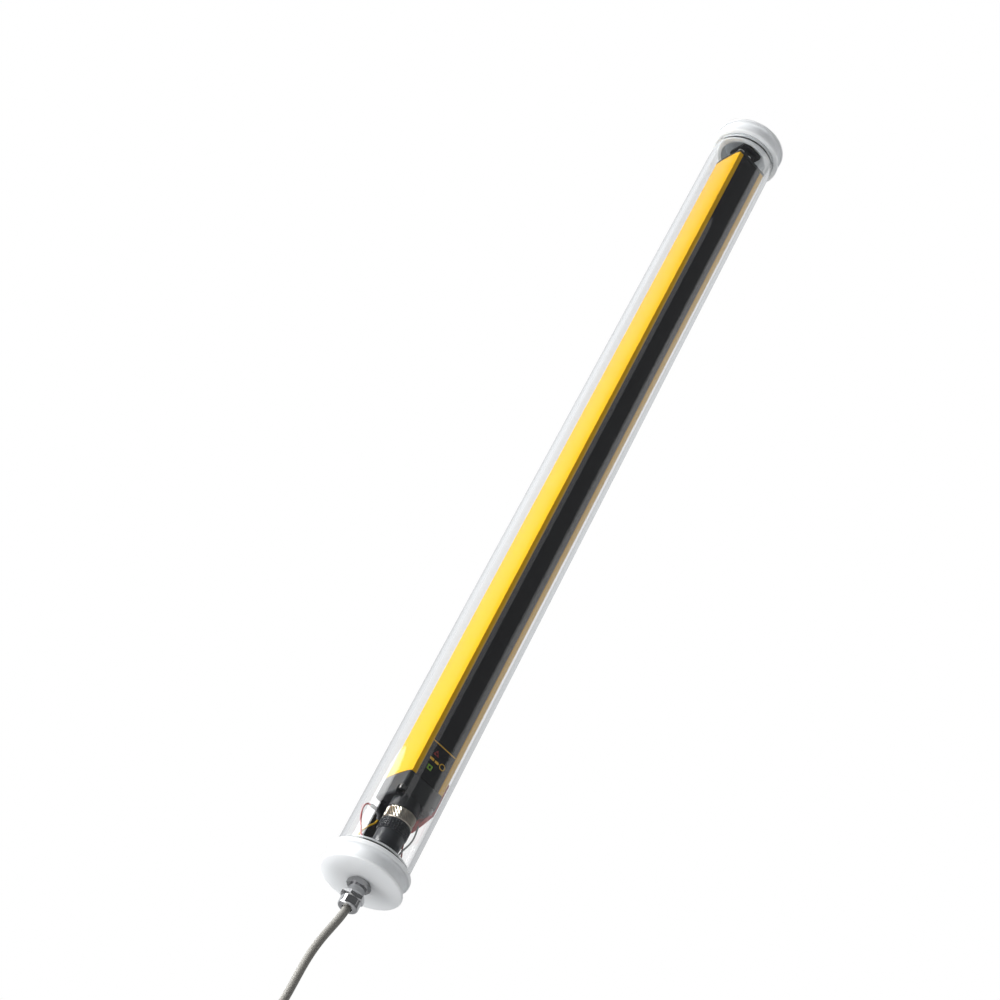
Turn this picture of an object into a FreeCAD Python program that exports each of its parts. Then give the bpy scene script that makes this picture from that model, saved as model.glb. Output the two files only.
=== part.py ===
import FreeCAD, Part
import math
import os

# A safety light curtain sealed in a clear tube: a light bar in an extruded housing, held between two
# turned end caps, with a heater, a plug-in lead and a cable gland at the foot.
# +Z runs up the tube, the light bar looks along -Y, and the origin is at the middle of the clamp groove
# in the lower cap, on the tube's axis. Millimetres.

os.makedirs("parts", exist_ok=True)
V = FreeCAD.Vector

# Clear tube, chosen to clear the light bar's corners
tube_length = 710.0
tube_wall = 3.0
tube_bar_clearance = 1.33

# Turned end caps, both alike outside
cap_rim_step = 3.1
cap_shoulder = 3.3
cap_groove_width = 8.8
cap_groove_fillet = 2.4
cap_rim_thickness = 2.2
cap_rim_round = 1.0
cap_face_round = 1.5
cap_plug_depth = 5.0
cap_plug_clearance = 0.1
cap_plug_wall = 3.75
cap_lead_in = 0.5
lower_end_wall = 4.0
upper_end_wall = 7.3
seal_section = 2.0
seal_offset = 2.6
seal_groove_width = 2.3
seal_clearance = 0.03

# Light bar: extruded housing, window, boards
housing_width = 28.4
housing_depth = 29.0
housing_offset_x = 1.0
housing_offset_y = -0.7
housing_corner = 2.0
housing_wall = 2.0
housing_foot = 62.0
housing_head_room = 17.0
lip_width = 4.4
window_thickness = 2.0
window_recess = 0.3
window_clearance = 0.1
window_ledge = 1.0
front_mass_depth = 6.0
channel_opening = 15.0
channel_centre_y = 3.8
channel_lip = 1.0
channel_undercut = 1.0
channel_depth = 2.6
channel_backing = 1.4
board_thickness = 1.6
board_front_y = 0.7
board_groove_depth = 0.7
board_clearance = 0.1
board_end_gap = 8.0
beam_pitch = 20.0
beam_bore = 7.0
carrier_width = 14.0
lens_thickness = 1.0
emitter_width = 3.2
emitter_depth = 1.9
emitter_height = 2.8
board_packages = ((-5, 40, 10, 12, 4.5), (4, 40, 5, 6, 1.7), (4, 52, 5, 6, 1.7), (-3, 66, 12, 12, 1.6),
                  (-3, 86, 7, 9, 2.2))

# End caps of the light bar
gasket_thickness = 0.6
gasket_inset = 0.5
lower_cap_length = 16.3
lower_cap_round = 1.8
upper_cap_thickness = 2.5
pocket_width = 16.4
pocket_front_wall = 2.4
pocket_rear_y = 8.0
pocket_floor = 8.9
screw_inset_x = 2.8
screw_inset_y = 3.2
rear_screw_x = 8.6
rear_screw_inset_y = 3.1
screw_diameter = 3.0
screw_clearance = 0.1
screw_engagement = 10.0
screw_boss = 5.2
notch_diameter = 7.0
notch_depth = 4.8
lower_head_diameter = 5.5
lower_head_height = 3.0
upper_head_diameter = 5.2
upper_head_height = 1.8
socket_recess = 1.3

# Round connector under the light bar
connector_x = 0.6
connector_y = -5.3
boss_diameter = 20.0
boss_height = 7.2
shell_diameter = 11.9
shell_bore = 9.8
shell_reach = 4.0
shell_flange_diameter = 15.0
shell_flange_thickness = 2.0
contact_count = 8
contact_circle = 5.6
contact_diameter = 0.9
contact_length = 4.0
contact_clearance = 0.1
connector_gap = 0.2
nut_diameter = 20.2
nut_length = 8.7
nut_thread_length = 4.2
nut_flats = 48
grip_diameter = 20.6
grip_length = 8.0
grip_ribs = 36
grip_rib_depth = 0.5
neck_diameter = 14.6
plug_diameter = 18.8
plug_length = 11.0
plug_foot_diameter = 17.2
clamp_nut_diameter = 16.0
clamp_nut_length = 3.6
insert_diameter = 9.4

# Cable gland in the lower cap
gland_thread = 12.0
gland_clearance = 0.1
gland_washer_thickness = 0.4
gland_washer_diameter = 13.4
gland_hex = 14.0
gland_hex_length = 3.8
gland_neck_diameter = 11.2
gland_neck_length = 5.2
gland_nut_hex_length = 4.0
gland_nut_dome_length = 6.4
gland_nut_round = 1.7
gland_nut_mouth = 6.8
gland_turn = 33.3
gland_nut_turn = 44.8
locknut_hex = 16.0
locknut_thickness = 3.0
gland_thread_stand = 0.5

# Bracket that carries the light bar on the gland
bracket_thickness = 1.8
bracket_width = 16.6
bracket_bend = 2.6
bracket_reach = 14.0
bracket_front_y = -9.0
bracket_seat = 0.05
bracket_screw_rises = (4.0, 10.0)
bracket_head_diameter = 5.5
bracket_head_height = 1.7
bracket_screw_bite = 5.0

# Holder between the light bar and the upper cap
holder_foot_thickness = 2.0
holder_foot_half_width = 7.3
holder_foot_front_y = -13.9
holder_foot_rear_y = 7.2
holder_post_half_width = 5.0
holder_post_front_y = -7.0
holder_post_rear_y = 2.8
holder_plate_width = 17.6
holder_plate_depth = 19.2
holder_plate_thickness = 2.5
holder_plate_round = 1.5
holder_plate_above_tube = 1.0
holder_hub_diameter = 12.7
holder_hub_seat = 2.0
holder_hub_clearance = 0.1
holder_screw_spots = ((-2.5, -11.8), (2.5, 5.2))
holder_screw_diameter = 2.0
holder_head_diameter = 3.8
holder_head_height = 1.5

# Heater in the side channel
heater_strip_width = 13.0
heater_strip_thickness = 1.4
heater_strip_end_gap = 12.0
pad_thickness = 2.6
pad_width = 24.0
pad_drop = 23.5
pad_reach = 13.0
pad_front_cut = 10.5
pad_middle_cut = 5.0
foil_thickness = 0.3
foil_width = 18.0
foil_length = 43.0
switch_diameter = 2.6
wire_diameter = 1.2

# Outer cable
cable_diameter = 5.4
cable_clearance = 0.1
jacket_end_above_thread = 1.5
core_circle = 1.5
core_seat = 0.03
coil_diameter = 55.4
coil_layers = 4
coil_turns = 16
coil_slack = 1.4
turn_tuck = 0.6
coil_centre = (7.0, 5.0, -162.0)
tail_drop = 50.0
entry_angle = 60.0
core_length = 24.0
ferrule_length = 8.0
core_spread = 3.0
tie_width = 4.0
tie_thickness = 1.2
tie_angle = 8.0
tie_clearance = 0.15
tie_head = 6.0

# Levels along Z, worked out from the sizes above
bar_corner_x = abs(housing_offset_x) + housing_width / 2 - housing_corner
bar_corner_y = abs(housing_offset_y) + housing_depth / 2 - housing_corner
bore_radius = math.hypot(bar_corner_x, bar_corner_y) + housing_corner + tube_bar_clearance
tube_radius = bore_radius + tube_wall
tube_foot = cap_shoulder + cap_groove_width / 2
tube_head = tube_foot + tube_length
housing_length = tube_length - housing_foot - housing_head_room
cap_height = cap_shoulder + cap_groove_width + cap_rim_thickness
lower_face = tube_foot - cap_height
lower_floor = lower_face + lower_end_wall
housing_bottom = tube_foot + housing_foot
housing_top = housing_bottom + housing_length
bar_cap_bottom = housing_bottom - lower_cap_length
bar_top = housing_top + upper_cap_thickness
boss_bottom = bar_cap_bottom - boss_height
nut_top = boss_bottom - connector_gap
nut_bottom = nut_top - nut_length
grip_top = nut_bottom - connector_gap
grip_bottom = grip_top - grip_length
plug_bottom = grip_bottom - plug_length
clamp_nut_bottom = plug_bottom - clamp_nut_length
pad_foot = housing_bottom - pad_drop
pad_top = housing_bottom + pad_reach
front_y = housing_offset_y - housing_depth / 2
rear_y = housing_offset_y + housing_depth / 2
side_x = housing_offset_x + housing_width / 2


# ---------------------------------------------------------------- shapes
def rounded_edges(points, radii, closed):
    """Straight runs between the points, joined at each by a tangent arc of its radius."""
    count = len(points)
    starts = []
    ends = []
    middles = []
    for i, point in enumerate(points):
        inner = closed or 0 < i < count - 1
        if not inner or radii[i] == 0:
            starts.append(point)
            ends.append(point)
            middles.append(None)
            continue
        back = (points[i - 1] - point).normalize()
        ahead = (points[(i + 1) % count] - point).normalize()
        half_turn = (math.pi - back.getAngle(ahead)) / 2
        reach = radii[i] * math.tan(half_turn)
        inward = (back + ahead).normalize()
        starts.append(point + back * reach)
        ends.append(point + ahead * reach)
        middles.append(point + inward * (radii[i] / math.cos(half_turn) - radii[i]))
    edges = []
    for i in range(count):
        if middles[i] is not None:
            edges.append(Part.Arc(starts[i], middles[i], ends[i]).toShape())
        if i < count - 1 or closed:
            following = starts[(i + 1) % count]
            if ends[i].distanceToPoint(following) > 1e-6:
                edges.append(Part.LineSegment(ends[i], following).toShape())
    return edges


def turned(corners):
    """A solid turned about Z from corners given as radius, level and rounding."""
    points = [V(r, 0, z) for r, z, _ in corners]
    wire = Part.Wire(rounded_edges(points, [c[2] for c in corners], True))
    return Part.Face(wire).revolve(V(0, 0, 0), V(0, 0, 1), 360)


def extruded(corners, bottom, height):
    """A straight prism along Z from corners given as x, y and rounding."""
    points = [V(x, y, bottom) for x, y, _ in corners]
    wire = Part.Wire(rounded_edges(points, [c[2] for c in corners], True))
    return Part.Face(wire).extrude(V(0, 0, height))


def rectangle(x_low, x_high, y_low, y_high, rounding=0.0):
    return [(x_low, y_low, rounding), (x_high, y_low, rounding),
            (x_high, y_high, rounding), (x_low, y_high, rounding)]


def block(x_low, x_high, y_low, y_high, z_low, z_high, rounding=0.0):
    return extruded(rectangle(x_low, x_high, y_low, y_high, rounding), z_low, z_high - z_low)


def rod(x, y, z_low, z_high, diameter):
    return Part.makeCylinder(diameter / 2, z_high - z_low, V(x, y, z_low))


def ring(x, y, z_low, z_high, outer, inner):
    return rod(x, y, z_low, z_high, outer).cut(rod(x, y, z_low, z_high, inner))


def hexagon(across_flats, z_low, z_high, turn):
    """A hexagonal prism about Z with its corners chamfered at both ends by a turned envelope."""
    reach = across_flats / math.sqrt(3)
    corners = []
    for i in range(6):
        angle = math.radians(60 * i + turn)
        corners.append((reach * math.cos(angle), reach * math.sin(angle), 0))
    prism = extruded(corners, z_low, z_high - z_low)
    flat = across_flats / 2
    drop = (reach - flat) * 0.6
    envelope = turned([(0, z_low, 0), (flat, z_low, 0), (reach, z_low + drop, 0),
                       (reach, z_high - drop, 0), (flat, z_high, 0), (0, z_high, 0)])
    return prism.common(envelope)


def bend_radii(points):
    """The largest tangent arc that leaves a tenth of the shorter run straight, at each inner point."""
    radii = [0.0]
    for i in range(1, len(points) - 1):
        back = points[i - 1] - points[i]
        ahead = points[i + 1] - points[i]
        shorter = min(back.Length, ahead.Length)
        half_turn = (math.pi - back.getAngle(ahead)) / 2
        radii.append(0.45 * shorter / math.tan(half_turn))
    radii.append(0.0)
    return radii


def cord(name, route, diameter):
    """A round cord along straight runs and tangent arcs. Prints its bends and its volume error."""
    points = [V(*point) for point in route]
    radii = bend_radii(points)
    path = Part.Wire(rounded_edges(points, radii, False))
    direction = points[1] - points[0]
    outline = Part.Wire(Part.makeCircle(diameter / 2, points[0], direction))
    tube = path.makePipeShell([outline], True, False)
    expected = math.pi * diameter ** 2 / 4 * path.Length
    tightest = min(r for r in radii if r > 0)
    print("%-14s length %7.1f  tightest bend %6.1f  volume error %.4f"
          % (name, path.Length, tightest, tube.Volume / expected - 1))
    return tube


def group(shapes):
    return Part.makeCompound(shapes)


def save(name, shape):
    shape.exportStep("parts/%s.step" % name)
    print("%-22s %2d solid  volume %10.1f  valid %s" % (name, len(shape.Solids), shape.Volume, shape.isValid()))


# ---------------------------------------------------------------- tube, end caps and seals
def clear_tube():
    tube = ring(0, 0, tube_foot, tube_head, 2 * tube_radius, 2 * bore_radius)
    return tube


def seal_groove_radius():
    return bore_radius - seal_section - 2 * seal_clearance


def end_cap(end_wall):
    """Turned cap, standing on the tube's end face at level 0 with its outer face upwards."""
    plug = bore_radius - cap_plug_clearance
    groove = seal_groove_radius()
    groove_low = -seal_offset - seal_groove_width / 2
    groove_high = -seal_offset + seal_groove_width / 2
    rim = tube_radius + cap_rim_step
    waist = tube_radius
    bore = bore_radius - cap_plug_wall
    upper_lip = cap_shoulder + cap_groove_width
    return turned([
        (0, cap_height, 0), (0, cap_height - end_wall, 0), (bore, cap_height - end_wall, 0),
        (bore, -cap_plug_depth, 0), (plug - cap_lead_in, -cap_plug_depth, 0),
        (plug, cap_lead_in - cap_plug_depth, 0), (plug, groove_low, 0),
        (groove, groove_low, 0), (groove, groove_high, 0), (plug, groove_high, 0), (plug, 0, 0),
        (rim, 0, cap_rim_round), (rim, cap_shoulder, cap_rim_round),
        (waist, cap_shoulder, cap_groove_fillet), (waist, upper_lip, cap_groove_fillet),
        (rim, upper_lip, cap_rim_round), (rim, cap_height, min(cap_face_round, cap_rim_thickness * 0.52))])


def lower_cap():
    cap = end_cap(lower_end_wall)
    cap.rotate(V(0, 0, 0), V(1, 0, 0), 180)
    cap.translate(V(0, 0, tube_foot))
    return cap.cut(rod(0, 0, lower_face - 1, lower_floor + 1, gland_thread + gland_clearance))


def upper_cap():
    cap = end_cap(upper_end_wall)
    cap.translate(V(0, 0, tube_head))
    floor = tube_head + cap_height - upper_end_wall
    seat = rod(0, 0, floor, floor + holder_hub_seat, holder_hub_diameter + holder_hub_clearance)
    return cap.cut(seat)


def cap_seal(level):
    radius = seal_section / 2
    return Part.makeTorus(seal_groove_radius() + seal_clearance + radius, radius, V(0, 0, level))


# ---------------------------------------------------------------- light bar
def bar_outline(inset=0.0):
    return rectangle(housing_offset_x - housing_width / 2 + inset, side_x - inset,
                     front_y + inset, rear_y - inset, housing_corner - inset)


def front_screw_spots():
    y = front_y + screw_inset_y
    return [(housing_offset_x - housing_width / 2 + screw_inset_x, y), (side_x - screw_inset_x, y)]


def rear_screw_spots():
    y = rear_y - rear_screw_inset_y
    return [(housing_offset_x - rear_screw_x, y), (housing_offset_x + rear_screw_x, y)]


def screw_spots():
    return front_screw_spots() + rear_screw_spots()


def channel_wall_x():
    return side_x - channel_depth - channel_backing


def inner_left():
    return housing_offset_x - housing_width / 2 + housing_wall


def window_half():
    return housing_width / 2 - lip_width


def window_back_y():
    return front_y + window_recess + window_thickness


def cavity_front_y():
    return front_y + front_mass_depth


def board_span():
    """Low x, high x of the circuit board, whose edges stand in the grooves of both walls."""
    grip = board_groove_depth - board_clearance
    return inner_left() - grip, channel_wall_x() + grip


def board_y():
    return housing_offset_y + board_front_y


def profile_housing():
    low, high = housing_bottom, housing_top
    body = extruded(bar_outline(), low, high - low)
    middle = housing_offset_x
    cavity = block(inner_left(), side_x - housing_wall, cavity_front_y(), rear_y - housing_wall, low, high, 0.5)
    channel_y = housing_offset_y + channel_centre_y
    half = channel_opening / 2
    backing = block(channel_wall_x(), side_x, channel_y - half - channel_undercut - channel_backing,
                    rear_y - housing_wall, low, high)
    cavity = cavity.cut(backing)
    for x, y in rear_screw_spots():
        cavity = cavity.cut(rod(x, y, low, high, screw_boss))
    throat = block(middle - window_half() + window_ledge, middle + window_half() - window_ledge,
                   front_y - 1, cavity_front_y() + 0.1, low, high)
    rebate = block(middle - window_half(), middle + window_half(), front_y - 1, window_back_y(), low, high)
    opening = block(side_x - channel_depth, side_x + 1, channel_y - half, channel_y + half, low, high)
    undercut = block(side_x - channel_depth, side_x - channel_lip, channel_y - half - channel_undercut,
                     channel_y + half + channel_undercut, low, high)
    groove_low, groove_high = board_span()
    board_groove = block(groove_low - board_clearance, groove_high + board_clearance,
                         board_y() - board_clearance, board_y() + board_thickness + board_clearance, low, high)
    body = body.cut([cavity, throat, rebate, opening, undercut, board_groove])
    holes = [rod(x, y, low, high, screw_diameter + screw_clearance) for x, y in screw_spots()]
    for rise in bracket_screw_rises:
        holes.append(bracket_screw_hole(rise, screw_diameter + screw_clearance))
    return body.cut(holes)


def front_window():
    half = window_half() - window_clearance
    return block(housing_offset_x - half, housing_offset_x + half, front_y + window_recess, window_back_y(),
                 housing_bottom, housing_top)


def circuit_board():
    low, high = board_span()
    return block(low, high, board_y(), board_y() + board_thickness,
                 housing_bottom + board_end_gap, housing_top - board_end_gap)


def beam_levels():
    span = housing_length - 3 * board_end_gap
    count = int(span // beam_pitch)
    first = (housing_bottom + housing_top - (count - 1) * beam_pitch) / 2
    return [first + i * beam_pitch for i in range(count)]


def beam_carrier():
    half = carrier_width / 2
    front = window_back_y() + lens_thickness
    body = block(housing_offset_x - half, housing_offset_x + half, front, board_y(),
                 housing_bottom + board_end_gap, housing_top - board_end_gap)
    depth = board_y() - front
    bores = []
    for level in beam_levels():
        bores.append(Part.makeCylinder(beam_bore / 2, depth, V(housing_offset_x, front, level), V(0, 1, 0)))
    return body.cut(bores)


def lens_strip():
    half = carrier_width / 2
    return block(housing_offset_x - half, housing_offset_x + half, window_back_y(),
                 window_back_y() + lens_thickness, housing_bottom + board_end_gap, housing_top - board_end_gap)


def beam_emitters():
    dice = []
    for level in beam_levels():
        dice.append(block(housing_offset_x - emitter_width / 2, housing_offset_x + emitter_width / 2,
                          board_y() - emitter_depth, board_y(),
                          level - emitter_height / 2, level + emitter_height / 2))
    return group(dice)


def board_parts():
    """Packages soldered to the back of the board near its foot: a regulator, two drivers, a processor."""
    back = board_y() + board_thickness
    chips = []
    for x, level, width, height, depth in board_packages:
        centre = housing_offset_x + x
        foot = housing_bottom + level
        chips.append(block(centre - width / 2, centre + width / 2, back, back + depth, foot, foot + height))
    return group(chips)


# ---------------------------------------------------------------- caps of the light bar
def pocket():
    """Low x, high x, low y, high y of the hollow behind the socket."""
    half = pocket_width / 2
    return (housing_offset_x - half, housing_offset_x + half, front_y + pocket_front_wall,
            housing_offset_y + pocket_rear_y)


def lower_end_cap():
    top = housing_bottom - gasket_thickness
    corners = bar_outline()
    body = extruded(corners, bar_cap_bottom, top - bar_cap_bottom)
    foot_edges = [edge for edge in body.Edges
                  if edge.BoundBox.ZMax < bar_cap_bottom + 0.01]
    body = body.makeFillet(lower_cap_round, foot_edges)
    boss = rod(connector_x, connector_y, boss_bottom, bar_cap_bottom + lower_cap_round, boss_diameter)
    body = body.fuse(boss)
    x_low, x_high, y_low, y_high = pocket()
    floor = top - pocket_floor + gasket_thickness
    body = body.cut(block(x_low, x_high, y_low, y_high, floor, top + 1, 1.0))
    body = body.cut(rod(connector_x, connector_y, boss_bottom - 1, floor + 1, shell_diameter + screw_clearance))
    for x, y in front_screw_spots():
        body = body.cut(rod(x, y, bar_cap_bottom - 1, bar_cap_bottom + notch_depth, notch_diameter))
        outward = x + math.copysign(notch_diameter, x - housing_offset_x)
        corner = block(min(x, outward), max(x, outward), y - notch_diameter, y,
                       bar_cap_bottom - 1, bar_cap_bottom + notch_depth)
        body = body.cut(corner)
    for x, y in rear_screw_spots():
        body = body.cut(rod(x, y, bar_cap_bottom - 1, bar_cap_bottom + notch_depth,
                            lower_head_diameter + 4 * screw_clearance))
    for x, y in screw_spots():
        body = body.cut(rod(x, y, bar_cap_bottom, top + 1, screw_diameter + screw_clearance))
    return body


def upper_end_cap():
    body = extruded(bar_outline(), housing_top + gasket_thickness, upper_cap_thickness - gasket_thickness)
    holes = [rod(x, y, housing_top, bar_top + 1, screw_diameter + screw_clearance) for x, y in screw_spots()]
    for x, y in holder_screw_spots:
        holes.append(rod(x, y, housing_top, bar_top + 1, holder_screw_diameter + screw_clearance))
    return body.cut(holes)


def end_gasket(level):
    sheet = extruded(bar_outline(gasket_inset), level, gasket_thickness)
    x_low, x_high, y_low, y_high = pocket()
    sheet = sheet.cut(block(x_low, x_high, y_low, y_high, level - 1, level + 1, 1.0))
    return sheet.cut([rod(x, y, level - 1, level + 1, screw_diameter + screw_clearance)
                      for x, y in screw_spots()])


def cap_screw(x, y, seat, end, head_diameter, head_height):
    """Screw from its head's seat to its point, up or down, with a cross or socket recess in the head."""
    away = math.copysign(1.0, seat - end)
    head_end = seat + away * head_height
    head = rod(x, y, min(seat, head_end), max(seat, head_end), head_diameter)
    recess_end = head_end - away * socket_recess
    recess = hexagon(head_diameter * 0.45, min(recess_end, head_end), max(recess_end, head_end), 0)
    recess.translate(V(x, y, 0))
    shank = rod(x, y, min(seat, end), max(seat, end), screw_diameter)
    return head.cut(recess).fuse(shank)


def lower_end_screws():
    seat = bar_cap_bottom + notch_depth
    end = housing_bottom + screw_engagement
    return group([cap_screw(x, y, seat, end, lower_head_diameter, lower_head_height) for x, y in screw_spots()])


def upper_end_screws():
    end = housing_top - screw_engagement
    return group([cap_screw(x, y, bar_top, end, upper_head_diameter, upper_head_height)
                  for x, y in screw_spots()])


# ---------------------------------------------------------------- round connector
def contact_spots():
    spots = [(connector_x, connector_y)]
    for i in range(contact_count - 1):
        angle = 2 * math.pi * i / (contact_count - 1)
        spots.append((connector_x + contact_circle / 2 * math.cos(angle),
                      connector_y + contact_circle / 2 * math.sin(angle)))
    return spots


def socket_floor():
    return housing_bottom - pocket_floor


def socket_shell():
    floor = socket_floor()
    barrel = rod(connector_x, connector_y, nut_top - shell_reach, floor + shell_flange_thickness, shell_diameter)
    flange = rod(connector_x, connector_y, floor, floor + shell_flange_thickness, shell_flange_diameter)
    bore = rod(connector_x, connector_y, nut_top - shell_reach - 1, floor + shell_flange_thickness + 1, shell_bore)
    return barrel.fuse(flange).cut(bore)


def socket_insert():
    return rod(connector_x, connector_y, nut_top, socket_floor() + shell_flange_thickness,
               shell_bore - contact_clearance).cut(
        [rod(x, y, nut_top - 1, socket_floor() + 4, contact_diameter) for x, y in contact_spots()])


def socket_pins():
    return group([rod(x, y, nut_top - contact_length, socket_floor() + shell_flange_thickness + 1.5,
                      contact_diameter - contact_clearance / 2) for x, y in contact_spots()])


def toothed_wheel(x, y, z_low, z_high, outer, depth, count):
    """A round body with straight ribs of even pitch along Z."""
    corners = []
    for i in range(count):
        for share, radius in ((0.0, outer / 2), (0.5, outer / 2), (0.62, outer / 2 - depth),
                              (0.88, outer / 2 - depth)):
            angle = 2 * math.pi * (i + share) / count
            corners.append((x + radius * math.cos(angle), y + radius * math.sin(angle), 0))
    return extruded(corners, z_low, z_high - z_low)


def coupling_nut():
    chamfer = 0.7
    radius = nut_diameter / 2
    body = turned([(0, nut_bottom, 0), (radius - chamfer, nut_bottom, 0), (radius, nut_bottom + chamfer, 0),
                   (radius, nut_top - chamfer, 0), (radius - chamfer, nut_top, 0), (0, nut_top, 0)])
    body.translate(V(connector_x, connector_y, 0))
    step = nut_top - nut_thread_length
    body = body.cut(rod(connector_x, connector_y, nut_bottom - 1, nut_top + 1, shell_diameter + contact_clearance))
    return body.cut(rod(connector_x, connector_y, nut_bottom - 1, step, neck_diameter + 2 * connector_gap))


def grip_ring():
    body = toothed_wheel(connector_x, connector_y, grip_bottom, grip_top, grip_diameter, grip_rib_depth, grip_ribs)
    return body.cut(rod(connector_x, connector_y, grip_bottom - 1, grip_top + 1,
                        neck_diameter + 2 * contact_clearance))


def plug_body():
    step = nut_top - nut_thread_length - connector_gap
    neck = neck_diameter / 2
    outer = plug_diameter / 2
    body = turned([(0, step, 0), (neck, step, 0.5), (neck, grip_bottom, 0), (outer, grip_bottom, 0.6),
                   (outer, plug_bottom + plug_length * 0.3, 4), (plug_foot_diameter / 2, plug_bottom, 0.6),
                   (0, plug_bottom, 0)])
    body.translate(V(connector_x, connector_y, 0))
    return body.cut(rod(connector_x, connector_y, plug_bottom - 1, step + 1, insert_diameter + contact_clearance))


def plug_insert():
    top = nut_top - connector_gap
    body = rod(connector_x, connector_y, grip_bottom, top, insert_diameter)
    return body.cut([rod(x, y, top - contact_length - 1, top + 1, contact_diameter + contact_clearance)
                     for x, y in contact_spots()])


def plug_clamp_nut():
    body = toothed_wheel(connector_x, connector_y, clamp_nut_bottom, plug_bottom, clamp_nut_diameter, 0.6, 18)
    return body.cut(rod(connector_x, connector_y, clamp_nut_bottom - 1, plug_bottom + 1, cable_diameter))


# ---------------------------------------------------------------- gland
gland_hex_top = lower_face - gland_washer_thickness
gland_hex_bottom = gland_hex_top - gland_hex_length
gland_neck_bottom = gland_hex_bottom - gland_neck_length
gland_nut_bottom = gland_neck_bottom - gland_nut_hex_length - gland_nut_dome_length
foot_top = lower_floor + bracket_thickness
thread_top = foot_top + locknut_thickness + gland_thread_stand
gland_bore = cable_diameter + 2 * cable_clearance
neck_bottom = gland_neck_bottom - gland_nut_hex_length


def gland_washer():
    return ring(0, 0, gland_hex_top, lower_face, gland_washer_diameter, gland_thread + gland_clearance)


def gland_body():
    body = hexagon(gland_hex, gland_hex_bottom, gland_hex_top, gland_turn)
    body = body.fuse(rod(0, 0, gland_hex_top, thread_top, gland_thread))
    body = body.fuse(rod(0, 0, neck_bottom, gland_hex_bottom, gland_neck_diameter))
    return body.cut(rod(0, 0, neck_bottom - 1, thread_top + 1, gland_bore))


def gland_nut():
    """Dome nut: hexagonal band, then a domed nose closing on the cable."""
    band = hexagon(gland_hex, neck_bottom, gland_neck_bottom, gland_nut_turn)
    outer = gland_hex / 2 - 0.2
    mouth = gland_nut_mouth / 2
    dome = turned([(0, neck_bottom + 0.5, 0), (outer, neck_bottom + 0.5, 0),
                   (outer, gland_nut_bottom, gland_nut_round), (mouth, gland_nut_bottom, 0.4),
                   (mouth, gland_nut_bottom + 1.4, 0), (0, gland_nut_bottom + 1.4, 0)])
    body = band.fuse(dome)
    body = body.cut(rod(0, 0, neck_bottom, gland_neck_bottom + 1, gland_neck_diameter + gland_clearance))
    body = body.cut(rod(0, 0, gland_nut_bottom + 1.6, neck_bottom + 0.1, gland_neck_diameter - 2.6))
    return body.cut(rod(0, 0, gland_nut_bottom - 1, neck_bottom, gland_nut_mouth))


def gland_seal():
    """Rubber sleeve squeezed on to the cable inside the dome nut."""
    return ring(0, 0, gland_nut_bottom + 1.7, neck_bottom - 0.1, gland_neck_diameter - 2.8, gland_bore)


def gland_locknut():
    return hexagon(locknut_hex, foot_top, foot_top + locknut_thickness, gland_turn).cut(
        rod(0, 0, foot_top - 1, foot_top + locknut_thickness + 1, gland_thread + gland_clearance))


# ---------------------------------------------------------------- bracket and holder
def bracket_screw_hole(rise, diameter):
    start = V(housing_offset_x, rear_y - bracket_screw_bite, housing_bottom + rise)
    return Part.makeCylinder(diameter / 2, bracket_screw_bite + bracket_seat + bracket_thickness + 1, start, V(0, 1, 0))


def support_bracket():
    """Angle: its foot is clamped on the cap's floor by the gland's locknut, its leg carries the bar."""
    leg_front = rear_y + bracket_seat
    leg_back = leg_front + bracket_thickness
    top = housing_bottom + bracket_reach
    outline = [(leg_back, lower_floor, bracket_bend + bracket_thickness), (leg_back, top, 1.0),
               (leg_front, top, 0), (leg_front, foot_top, bracket_bend), (bracket_front_y, foot_top, 0),
               (bracket_front_y, lower_floor, 0)]
    x = housing_offset_x - bracket_width / 2
    points = [V(x, y, z) for y, z, _ in outline]
    wire = Part.Wire(rounded_edges(points, [c[2] for c in outline], True))
    body = Part.Face(wire).extrude(V(bracket_width, 0, 0))
    holes = [bracket_screw_hole(rise, screw_diameter + screw_clearance) for rise in bracket_screw_rises]
    holes.append(rod(0, 0, lower_floor - 1, foot_top + 1, gland_thread + gland_clearance))
    return body.cut(holes)


def bracket_screws():
    seat = rear_y + bracket_seat + bracket_thickness
    screws = []
    for rise in bracket_screw_rises:
        head = Part.makeCylinder(bracket_head_diameter / 2, bracket_head_height,
                                 V(housing_offset_x, seat, housing_bottom + rise), V(0, 1, 0))
        shank = Part.makeCylinder(screw_diameter / 2, bracket_screw_bite + bracket_thickness,
                                  V(housing_offset_x, seat - bracket_screw_bite - bracket_thickness,
                                    housing_bottom + rise), V(0, 1, 0))
        screws.append(head.fuse(shank))
    return group(screws)


def upper_holder():
    """Moulded holder: foot on the bar's cap, post, plate, and a hub that seats in the upper cap."""
    foot_high = bar_top + holder_foot_thickness
    plate_low = tube_head + holder_plate_above_tube
    plate_high = plate_low + holder_plate_thickness
    hub_high = tube_head + cap_height - upper_end_wall + holder_hub_seat
    half = holder_foot_half_width
    body = block(-half, half, holder_foot_front_y, holder_foot_rear_y, bar_top, foot_high, 1.0)
    post = holder_post_half_width
    body = body.fuse(block(-post, post, holder_post_front_y, holder_post_rear_y, foot_high, plate_low, 1.0))
    body = body.fuse(block(-holder_plate_width / 2, holder_plate_width / 2, -holder_plate_depth / 2,
                           holder_plate_depth / 2, plate_low, plate_high, holder_plate_round))
    body = body.fuse(rod(0, 0, plate_high, hub_high, holder_hub_diameter))
    return body.cut([rod(x, y, bar_top - 1, foot_high + 1, holder_screw_diameter + screw_clearance)
                     for x, y in holder_screw_spots])


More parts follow.
